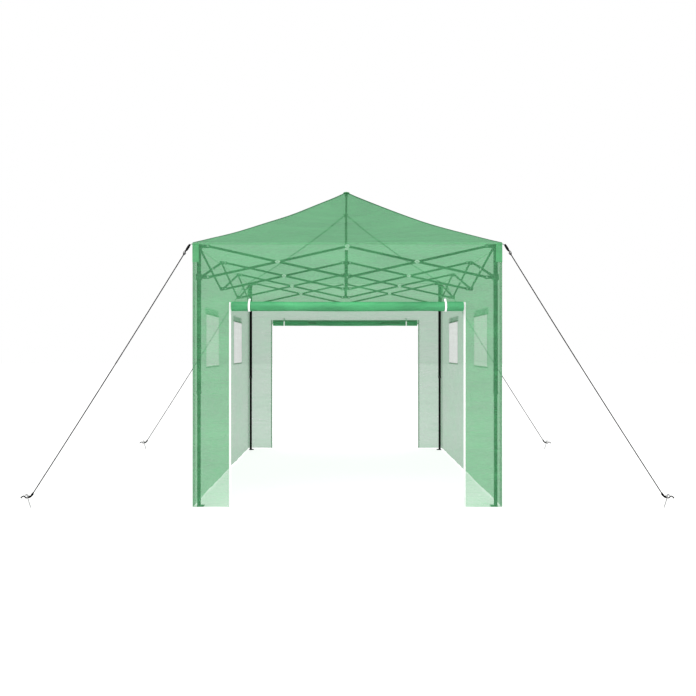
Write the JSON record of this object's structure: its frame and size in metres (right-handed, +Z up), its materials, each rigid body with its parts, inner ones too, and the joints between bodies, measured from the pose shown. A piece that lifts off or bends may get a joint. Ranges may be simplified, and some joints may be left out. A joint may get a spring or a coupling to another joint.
{
  "type": "pop-up greenhouse",
  "caption": "Walk-in pop-up greenhouse: hipped sheet cover with end doorways on a scissor-folding frame with telescopic legs, sprung peak posts and guy ropes.",
  "frame": {"origin": "on the ground, at the middle of the greenhouse's footprint without its guy ropes", "axes": "+Z up, +Y from the front doorway to the rear one, +X to the right seen from the front"},
  "size_m": [4.9628, 3.8044, 2.738],
  "materials": {
    "scissor_bar": "black powder coat, satin",
    "frame_steel": "black powder coat, satin",
    "hub_plastic": "moulded, satin",
    "roof_sheet": "woven sheet, translucent, semi-gloss",
    "wall_sheet": "woven sheet, translucent, semi-gloss",
    "guy_rope": "braided cord"
  },
  "bodies": {
    "peak_post_front": {"peak_post_front": "frame_steel", "cover_roof": "roof_sheet", "cover_walls": "wall_sheet"},
    "bar_front_left_falling": {"bar_front_left_falling": "scissor_bar"},
    "bar_front_left_rising": {"bar_front_left_rising": "scissor_bar"},
    "bar_front_right_falling": {"bar_front_right_falling": "scissor_bar"},
    "bar_front_right_rising": {"bar_front_right_rising": "scissor_bar"},
    "bar_left_side_front_falling": {"bar_left_side_front_falling": "scissor_bar"},
    "bar_left_side_front_rising": {"bar_left_side_front_rising": "scissor_bar"},
    "bar_left_side_middle_falling": {"bar_left_side_middle_falling": "scissor_bar"},
    "bar_left_side_middle_rising": {"bar_left_side_middle_rising": "scissor_bar"},
    "bar_left_side_rear_falling": {"bar_left_side_rear_falling": "scissor_bar"},
    "bar_left_side_rear_rising": {"bar_left_side_rear_rising": "scissor_bar"},
    "bar_mid_front_left_falling": {"bar_mid_front_left_falling": "scissor_bar"},
    "bar_mid_front_left_rising": {"bar_mid_front_left_rising": "scissor_bar"},
    "bar_mid_front_right_falling": {"bar_mid_front_right_falling": "scissor_bar"},
    "bar_mid_front_right_rising": {"bar_mid_front_right_rising": "scissor_bar"},
    "bar_mid_rear_left_falling": {"bar_mid_rear_left_falling": "scissor_bar"},
    "bar_mid_rear_left_rising": {"bar_mid_rear_left_rising": "scissor_bar"},
    "bar_mid_rear_right_falling": {"bar_mid_rear_right_falling": "scissor_bar"},
    "bar_mid_rear_right_rising": {"bar_mid_rear_right_rising": "scissor_bar"},
    "bar_rear_left_falling": {"bar_rear_left_falling": "scissor_bar"},
    "bar_rear_left_rising": {"bar_rear_left_rising": "scissor_bar"},
    "bar_rear_right_falling": {"bar_rear_right_falling": "scissor_bar"},
    "bar_rear_right_rising": {"bar_rear_right_rising": "scissor_bar"},
    "bar_right_side_front_falling": {"bar_right_side_front_falling": "scissor_bar"},
    "bar_right_side_front_rising": {"bar_right_side_front_rising": "scissor_bar"},
    "bar_right_side_middle_falling": {"bar_right_side_middle_falling": "scissor_bar"},
    "bar_right_side_middle_rising": {"bar_right_side_middle_rising": "scissor_bar"},
    "bar_right_side_rear_falling": {"bar_right_side_rear_falling": "scissor_bar"},
    "bar_right_side_rear_rising": {"bar_right_side_rear_rising": "scissor_bar"},
    "hub_lower_centre_front": {"hub_lower_centre_front": "hub_plastic"},
    "hub_lower_centre_rear": {"hub_lower_centre_rear": "hub_plastic"},
    "hub_lower_mid_front_left": {"hub_lower_mid_front_left": "hub_plastic"},
    "hub_lower_mid_front_right": {"hub_lower_mid_front_right": "hub_plastic"},
    "hub_lower_mid_rear_left": {"hub_lower_mid_rear_left": "hub_plastic"},
    "hub_lower_mid_rear_right": {"hub_lower_mid_rear_right": "hub_plastic"},
    "hub_upper_mid_front_left": {"hub_upper_mid_front_left": "hub_plastic"},
    "hub_upper_mid_front_right": {"hub_upper_mid_front_right": "hub_plastic"},
    "hub_upper_mid_rear_left": {"hub_upper_mid_rear_left": "hub_plastic"},
    "hub_upper_mid_rear_right": {"hub_upper_mid_rear_right": "hub_plastic"},
    "leg_inner_front_left": {"leg_inner_front_left": "frame_steel"},
    "leg_inner_front_right": {"leg_inner_front_right": "frame_steel"},
    "leg_inner_rear_left": {"leg_inner_rear_left": "frame_steel"},
    "leg_inner_rear_right": {"leg_inner_rear_right": "frame_steel"},
    "leg_outer_front_left": {"leg_outer_front_left": "frame_steel", "guy_rope_front_left": "guy_rope"},
    "leg_outer_front_right": {"leg_outer_front_right": "frame_steel", "guy_rope_front_right": "guy_rope"},
    "leg_outer_rear_left": {"leg_outer_rear_left": "frame_steel", "guy_rope_rear_left": "guy_rope"},
    "leg_outer_rear_right": {"leg_outer_rear_right": "frame_steel", "guy_rope_rear_right": "guy_rope"},
    "leg_slider_front_left": {"leg_slider_front_left": "hub_plastic"},
    "leg_slider_front_right": {"leg_slider_front_right": "hub_plastic"},
    "leg_slider_rear_left": {"leg_slider_rear_left": "hub_plastic"},
    "leg_slider_rear_right": {"leg_slider_rear_right": "hub_plastic"},
    "peak_post_rear": {"peak_post_rear": "frame_steel"},
    "peak_rod_front": {"peak_rod_front": "frame_steel"},
    "peak_rod_rear": {"peak_rod_rear": "frame_steel"}
  },
  "joints": [
    {"name": "frame_fold", "type": "hinge", "parent": "peak_post_front", "child": "bar_mid_front_left_rising", "pos_m": [-0.036, -0.59, 2.07], "axis": [0, -1, 0], "range_deg": [0, 67.4], "deforming": ["cover_roof", "cover_walls"]},
    {"name": "turn_bar_mid_front_left_falling", "type": "hinge", "parent": "bar_mid_front_left_rising", "child": "bar_mid_front_left_falling", "pos_m": [-0.59, -0.59, 1.947], "axis": [0, 1, 0], "range_deg": [0, 134.8]},
    {"name": "turn_bar_mid_front_right_falling", "type": "hinge", "parent": "peak_post_front", "child": "bar_mid_front_right_falling", "pos_m": [0.036, -0.59, 2.07], "axis": [0, 1, 0], "range_deg": [0, 67.4]},
    {"name": "turn_bar_mid_front_right_rising", "type": "hinge", "parent": "bar_mid_front_right_falling", "child": "bar_mid_front_right_rising", "pos_m": [0.59, -0.59, 1.947], "axis": [0, -1, 0], "range_deg": [0, 134.8]},
    {"name": "turn_hub_lower_centre_front", "type": "hinge", "parent": "bar_mid_front_left_falling", "child": "hub_lower_centre_front", "pos_m": [-0.036, -0.59, 1.824], "axis": [0, -1, 0], "range_deg": [0, 67.4]},
    {"name": "turn_hub_upper_mid_front_left", "type": "hinge", "parent": "bar_mid_front_left_falling", "child": "hub_upper_mid_front_left", "pos_m": [-1.144, -0.59, 2.07], "axis": [0, -1, 0], "range_deg": [0, 67.4]},
    {"name": "turn_hub_lower_mid_front_left", "type": "hinge", "parent": "bar_mid_front_left_rising", "child": "hub_lower_mid_front_left", "pos_m": [-1.144, -0.59, 1.824], "axis": [0, 1, 0], "range_deg": [0, 67.4]},
    {"name": "turn_hub_upper_mid_front_right", "type": "hinge", "parent": "bar_mid_front_right_rising", "child": "hub_upper_mid_front_right", "pos_m": [1.144, -0.59, 2.07], "axis": [0, 1, 0], "range_deg": [0, 67.4]},
    {"name": "turn_hub_lower_mid_front_right", "type": "hinge", "parent": "bar_mid_front_right_falling", "child": "hub_lower_mid_front_right", "pos_m": [1.144, -0.59, 1.824], "axis": [0, -1, 0], "range_deg": [0, 67.4]},
    {"name": "turn_bar_left_side_front_rising", "type": "hinge", "parent": "hub_upper_mid_front_left", "child": "bar_left_side_front_rising", "pos_m": [-1.18, -0.626, 2.07], "axis": [1, 0, 0], "range_deg": [0, 67.4]},
    {"name": "turn_bar_left_side_front_falling", "type": "hinge", "parent": "bar_left_side_front_rising", "child": "bar_left_side_front_falling", "pos_m": [-1.18, -1.18, 1.947], "axis": [-1, 0, 0], "range_deg": [0, 134.8]},
    {"name": "turn_leg_outer_front_left", "type": "hinge", "parent": "bar_left_side_front_falling", "child": "leg_outer_front_left", "pos_m": [-1.18, -1.734, 2.07], "axis": [1, 0, 0], "range_deg": [0, 67.4]},
    {"name": "turn_leg_slider_front_left", "type": "hinge", "parent": "bar_left_side_front_rising", "child": "leg_slider_front_left", "pos_m": [-1.18, -1.734, 1.824], "axis": [-1, 0, 0], "range_deg": [0, 67.4]},
    {"name": "turn_bar_left_side_middle_falling", "type": "hinge", "parent": "hub_upper_mid_front_left", "child": "bar_left_side_middle_falling", "pos_m": [-1.18, -0.554, 2.07], "axis": [-1, 0, 0], "range_deg": [0, 67.4]},
    {"name": "turn_bar_left_side_middle_rising", "type": "hinge", "parent": "bar_left_side_middle_falling", "child": "bar_left_side_middle_rising", "pos_m": [-1.18, 0, 1.947], "axis": [1, 0, 0], "range_deg": [0, 134.8]},
    {"name": "turn_hub_upper_mid_rear_left", "type": "hinge", "parent": "bar_left_side_middle_rising", "child": "hub_upper_mid_rear_left", "pos_m": [-1.18, 0.554, 2.07], "axis": [-1, 0, 0], "range_deg": [0, 67.4]},
    {"name": "turn_hub_lower_mid_rear_left", "type": "hinge", "parent": "bar_left_side_middle_falling", "child": "hub_lower_mid_rear_left", "pos_m": [-1.18, 0.554, 1.824], "axis": [1, 0, 0], "range_deg": [0, 67.4]},
    {"name": "turn_bar_left_side_rear_falling", "type": "hinge", "parent": "hub_upper_mid_rear_left", "child": "bar_left_side_rear_falling", "pos_m": [-1.18, 0.626, 2.07], "axis": [-1, 0, 0], "range_deg": [0, 67.4]},
    {"name": "turn_bar_left_side_rear_rising", "type": "hinge", "parent": "bar_left_side_rear_falling", "child": "bar_left_side_rear_rising", "pos_m": [-1.18, 1.18, 1.947], "axis": [1, 0, 0], "range_deg": [0, 134.8]},
    {"name": "turn_leg_outer_rear_left", "type": "hinge", "parent": "bar_left_side_rear_rising", "child": "leg_outer_rear_left", "pos_m": [-1.18, 1.734, 2.07], "axis": [-1, 0, 0], "range_deg": [0, 67.4]},
    {"name": "turn_leg_slider_rear_left", "type": "hinge", "parent": "bar_left_side_rear_falling", "child": "leg_slider_rear_left", "pos_m": [-1.18, 1.734, 1.824], "axis": [1, 0, 0], "range_deg": [0, 67.4]},
    {"name": "turn_bar_right_side_front_rising", "type": "hinge", "parent": "hub_upper_mid_front_right", "child": "bar_right_side_front_rising", "pos_m": [1.18, -0.626, 2.07], "axis": [1, 0, 0], "range_deg": [0, 67.4]},
    {"name": "turn_bar_right_side_front_falling", "type": "hinge", "parent": "bar_right_side_front_rising", "child": "bar_right_side_front_falling", "pos_m": [1.18, -1.18, 1.947], "axis": [-1, 0, 0], "range_deg": [0, 134.8]},
    {"name": "turn_leg_outer_front_right", "type": "hinge", "parent": "bar_right_side_front_falling", "child": "leg_outer_front_right", "pos_m": [1.18, -1.734, 2.07], "axis": [1, 0, 0], "range_deg": [0, 67.4]},
    {"name": "turn_leg_slider_front_right", "type": "hinge", "parent": "bar_right_side_front_rising", "child": "leg_slider_front_right", "pos_m": [1.18, -1.734, 1.824], "axis": [-1, 0, 0], "range_deg": [0, 67.4]},
    {"name": "turn_bar_right_side_middle_falling", "type": "hinge", "parent": "hub_upper_mid_front_right", "child": "bar_right_side_middle_falling", "pos_m": [1.18, -0.554, 2.07], "axis": [-1, 0, 0], "range_deg": [0, 67.4]},
    {"name": "turn_bar_right_side_middle_rising", "type": "hinge", "parent": "bar_right_side_middle_falling", "child": "bar_right_side_middle_rising", "pos_m": [1.18, 0, 1.947], "axis": [1, 0, 0], "range_deg": [0, 134.8]},
    {"name": "turn_hub_upper_mid_rear_right", "type": "hinge", "parent": "bar_right_side_middle_rising", "child": "hub_upper_mid_rear_right", "pos_m": [1.18, 0.554, 2.07], "axis": [-1, 0, 0], "range_deg": [0, 67.4]},
    {"name": "turn_hub_lower_mid_rear_right", "type": "hinge", "parent": "bar_right_side_middle_falling", "child": "hub_lower_mid_rear_right", "pos_m": [1.18, 0.554, 1.824], "axis": [1, 0, 0], "range_deg": [0, 67.4]},
    {"name": "turn_bar_right_side_rear_falling", "type": "hinge", "parent": "hub_upper_mid_rear_right", "child": "bar_right_side_rear_falling", "pos_m": [1.18, 0.626, 2.07], "axis": [-1, 0, 0], "range_deg": [0, 67.4]},
    {"name": "turn_bar_right_side_rear_rising", "type": "hinge", "parent": "bar_right_side_rear_falling", "child": "bar_right_side_rear_rising", "pos_m": [1.18, 1.18, 1.947], "axis": [1, 0, 0], "range_deg": [0, 134.8]},
    {"name": "turn_leg_outer_rear_right", "type": "hinge", "parent": "bar_right_side_rear_rising", "child": "leg_outer_rear_right", "pos_m": [1.18, 1.734, 2.07], "axis": [-1, 0, 0], "range_deg": [0, 67.4]},
    {"name": "turn_leg_slider_rear_right", "type": "hinge", "parent": "bar_right_side_rear_falling", "child": "leg_slider_rear_right", "pos_m": [1.18, 1.734, 1.824], "axis": [1, 0, 0], "range_deg": [0, 67.4]},
    {"name": "turn_bar_mid_rear_left_falling", "type": "hinge", "parent": "hub_upper_mid_rear_left", "child": "bar_mid_rear_left_falling", "pos_m": [-1.144, 0.59, 2.07], "axis": [0, 1, 0], "range_deg": [0, 67.4]},
    {"name": "turn_bar_mid_rear_left_rising", "type": "hinge", "parent": "bar_mid_rear_left_falling", "child": "bar_mid_rear_left_rising", "pos_m": [-0.59, 0.59, 1.947], "axis": [0, -1, 0], "range_deg": [0, 134.8]},
    {"name": "turn_peak_post_rear", "type": "hinge", "parent": "bar_mid_rear_left_rising", "child": "peak_post_rear", "pos_m": [-0.036, 0.59, 2.07], "axis": [0, 1, 0], "range_deg": [0, 67.4]},
    {"name": "turn_hub_lower_centre_rear", "type": "hinge", "parent": "bar_mid_rear_left_falling", "child": "hub_lower_centre_rear", "pos_m": [-0.036, 0.59, 1.824], "axis": [0, -1, 0], "range_deg": [0, 67.4]},
    {"name": "turn_bar_mid_rear_right_rising", "type": "hinge", "parent": "hub_upper_mid_rear_right", "child": "bar_mid_rear_right_rising", "pos_m": [1.144, 0.59, 2.07], "axis": [0, -1, 0], "range_deg": [0, 67.4]},
    {"name": "turn_bar_mid_rear_right_falling", "type": "hinge", "parent": "bar_mid_rear_right_rising", "child": "bar_mid_rear_right_falling", "pos_m": [0.59, 0.59, 1.947], "axis": [0, 1, 0], "range_deg": [0, 134.8]},
    {"name": "turn_bar_front_left_falling", "type": "hinge", "parent": "leg_outer_front_left", "child": "bar_front_left_falling", "pos_m": [-1.108, -1.77, 2.07], "axis": [0, 1, 0], "range_deg": [0, 67.4]},
    {"name": "turn_bar_front_left_rising", "type": "hinge", "parent": "bar_front_left_falling", "child": "bar_front_left_rising", "pos_m": [-0.554, -1.77, 1.947], "axis": [0, -1, 0], "range_deg": [0, 134.8]},
    {"name": "turn_bar_front_right_rising", "type": "hinge", "parent": "leg_outer_front_right", "child": "bar_front_right_rising", "pos_m": [1.108, -1.77, 2.07], "axis": [0, -1, 0], "range_deg": [0, 67.4]},
    {"name": "turn_bar_front_right_falling", "type": "hinge", "parent": "bar_front_right_rising", "child": "bar_front_right_falling", "pos_m": [0.554, -1.77, 1.947], "axis": [0, 1, 0], "range_deg": [0, 134.8]},
    {"name": "turn_bar_rear_left_falling", "type": "hinge", "parent": "leg_outer_rear_left", "child": "bar_rear_left_falling", "pos_m": [-1.108, 1.77, 2.07], "axis": [0, 1, 0], "range_deg": [0, 67.4]},
    {"name": "turn_bar_rear_left_rising", "type": "hinge", "parent": "bar_rear_left_falling", "child": "bar_rear_left_rising", "pos_m": [-0.554, 1.77, 1.947], "axis": [0, -1, 0], "range_deg": [0, 134.8]},
    {"name": "turn_bar_rear_right_rising", "type": "hinge", "parent": "leg_outer_rear_right", "child": "bar_rear_right_rising", "pos_m": [1.108, 1.77, 2.07], "axis": [0, -1, 0], "range_deg": [0, 67.4]},
    {"name": "turn_bar_rear_right_falling", "type": "hinge", "parent": "bar_rear_right_rising", "child": "bar_rear_right_falling", "pos_m": [0.554, 1.77, 1.947], "axis": [0, 1, 0], "range_deg": [0, 134.8]},
    {"name": "leg_height_front_left", "type": "slide", "parent": "leg_outer_front_left", "child": "leg_inner_front_left", "axis": [0, 0, 1], "range_m": [0, 0.75]},
    {"name": "leg_height_front_right", "type": "slide", "parent": "leg_outer_front_right", "child": "leg_inner_front_right", "axis": [0, 0, 1], "range_m": [0, 0.75]},
    {"name": "leg_height_rear_left", "type": "slide", "parent": "leg_outer_rear_left", "child": "leg_inner_rear_left", "axis": [0, 0, 1], "range_m": [0, 0.75]},
    {"name": "leg_height_rear_right", "type": "slide", "parent": "leg_outer_rear_right", "child": "leg_inner_rear_right", "axis": [0, 0, 1], "range_m": [0, 0.75]},
    {"name": "peak_spring_front", "type": "slide", "parent": "peak_post_front", "child": "peak_rod_front", "axis": [0, 0, -1], "range_m": [0, 0.3], "stiffness_N_per_m": 220, "springref_m": -0.1},
    {"name": "peak_spring_rear", "type": "slide", "parent": "peak_post_rear", "child": "peak_rod_rear", "axis": [0, 0, -1], "range_m": [0, 0.3], "stiffness_N_per_m": 220, "springref_m": -0.1}
  ],
  "couplings": [
    {"joint": "turn_bar_mid_front_left_falling", "follows": "frame_fold", "ratio": 2},
    {"joint": "turn_bar_mid_front_right_falling", "follows": "frame_fold", "ratio": 1},
    {"joint": "turn_bar_mid_front_right_rising", "follows": "frame_fold", "ratio": 2},
    {"joint": "turn_hub_lower_centre_front", "follows": "frame_fold", "ratio": 1},
    {"joint": "turn_hub_upper_mid_front_left", "follows": "frame_fold", "ratio": 1},
    {"joint": "turn_hub_lower_mid_front_left", "follows": "frame_fold", "ratio": 1},
    {"joint": "turn_hub_upper_mid_front_right", "follows": "frame_fold", "ratio": 1},
    {"joint": "turn_hub_lower_mid_front_right", "follows": "frame_fold", "ratio": 1},
    {"joint": "turn_bar_left_side_front_rising", "follows": "frame_fold", "ratio": 1},
    {"joint": "turn_bar_left_side_front_falling", "follows": "frame_fold", "ratio": 2},
    {"joint": "turn_leg_outer_front_left", "follows": "frame_fold", "ratio": 1},
    {"joint": "turn_leg_slider_front_left", "follows": "frame_fold", "ratio": 1},
    {"joint": "turn_bar_left_side_middle_falling", "follows": "frame_fold", "ratio": 1},
    {"joint": "turn_bar_left_side_middle_rising", "follows": "frame_fold", "ratio": 2},
    {"joint": "turn_hub_upper_mid_rear_left", "follows": "frame_fold", "ratio": 1},
    {"joint": "turn_hub_lower_mid_rear_left", "follows": "frame_fold", "ratio": 1},
    {"joint": "turn_bar_left_side_rear_falling", "follows": "frame_fold", "ratio": 1},
    {"joint": "turn_bar_left_side_rear_rising", "follows": "frame_fold", "ratio": 2},
    {"joint": "turn_leg_outer_rear_left", "follows": "frame_fold", "ratio": 1},
    {"joint": "turn_leg_slider_rear_left", "follows": "frame_fold", "ratio": 1},
    {"joint": "turn_bar_right_side_front_rising", "follows": "frame_fold", "ratio": 1},
    {"joint": "turn_bar_right_side_front_falling", "follows": "frame_fold", "ratio": 2},
    {"joint": "turn_leg_outer_front_right", "follows": "frame_fold", "ratio": 1},
    {"joint": "turn_leg_slider_front_right", "follows": "frame_fold", "ratio": 1},
    {"joint": "turn_bar_right_side_middle_falling", "follows": "frame_fold", "ratio": 1},
    {"joint": "turn_bar_right_side_middle_rising", "follows": "frame_fold", "ratio": 2},
    {"joint": "turn_hub_upper_mid_rear_right", "follows": "frame_fold", "ratio": 1},
    {"joint": "turn_hub_lower_mid_rear_right", "follows": "frame_fold", "ratio": 1},
    {"joint": "turn_bar_right_side_rear_falling", "follows": "frame_fold", "ratio": 1},
    {"joint": "turn_bar_right_side_rear_rising", "follows": "frame_fold", "ratio": 2},
    {"joint": "turn_leg_outer_rear_right", "follows": "frame_fold", "ratio": 1},
    {"joint": "turn_leg_slider_rear_right", "follows": "frame_fold", "ratio": 1},
    {"joint": "turn_bar_mid_rear_left_falling", "follows": "frame_fold", "ratio": 1},
    {"joint": "turn_bar_mid_rear_left_rising", "follows": "frame_fold", "ratio": 2},
    {"joint": "turn_peak_post_rear", "follows": "frame_fold", "ratio": 1},
    {"joint": "turn_hub_lower_centre_rear", "follows": "frame_fold", "ratio": 1},
    {"joint": "turn_bar_mid_rear_right_rising", "follows": "frame_fold", "ratio": 1},
    {"joint": "turn_bar_mid_rear_right_falling", "follows": "frame_fold", "ratio": 2},
    {"joint": "turn_bar_front_left_falling", "follows": "frame_fold", "ratio": 1},
    {"joint": "turn_bar_front_left_rising", "follows": "frame_fold", "ratio": 2},
    {"joint": "turn_bar_front_right_rising", "follows": "frame_fold", "ratio": 1},
    {"joint": "turn_bar_front_right_falling", "follows": "frame_fold", "ratio": 2},
    {"joint": "turn_bar_rear_left_falling", "follows": "frame_fold", "ratio": 1},
    {"joint": "turn_bar_rear_left_rising", "follows": "frame_fold", "ratio": 2},
    {"joint": "turn_bar_rear_right_rising", "follows": "frame_fold", "ratio": 1},
    {"joint": "turn_bar_rear_right_falling", "follows": "frame_fold", "ratio": 2}
  ]
}
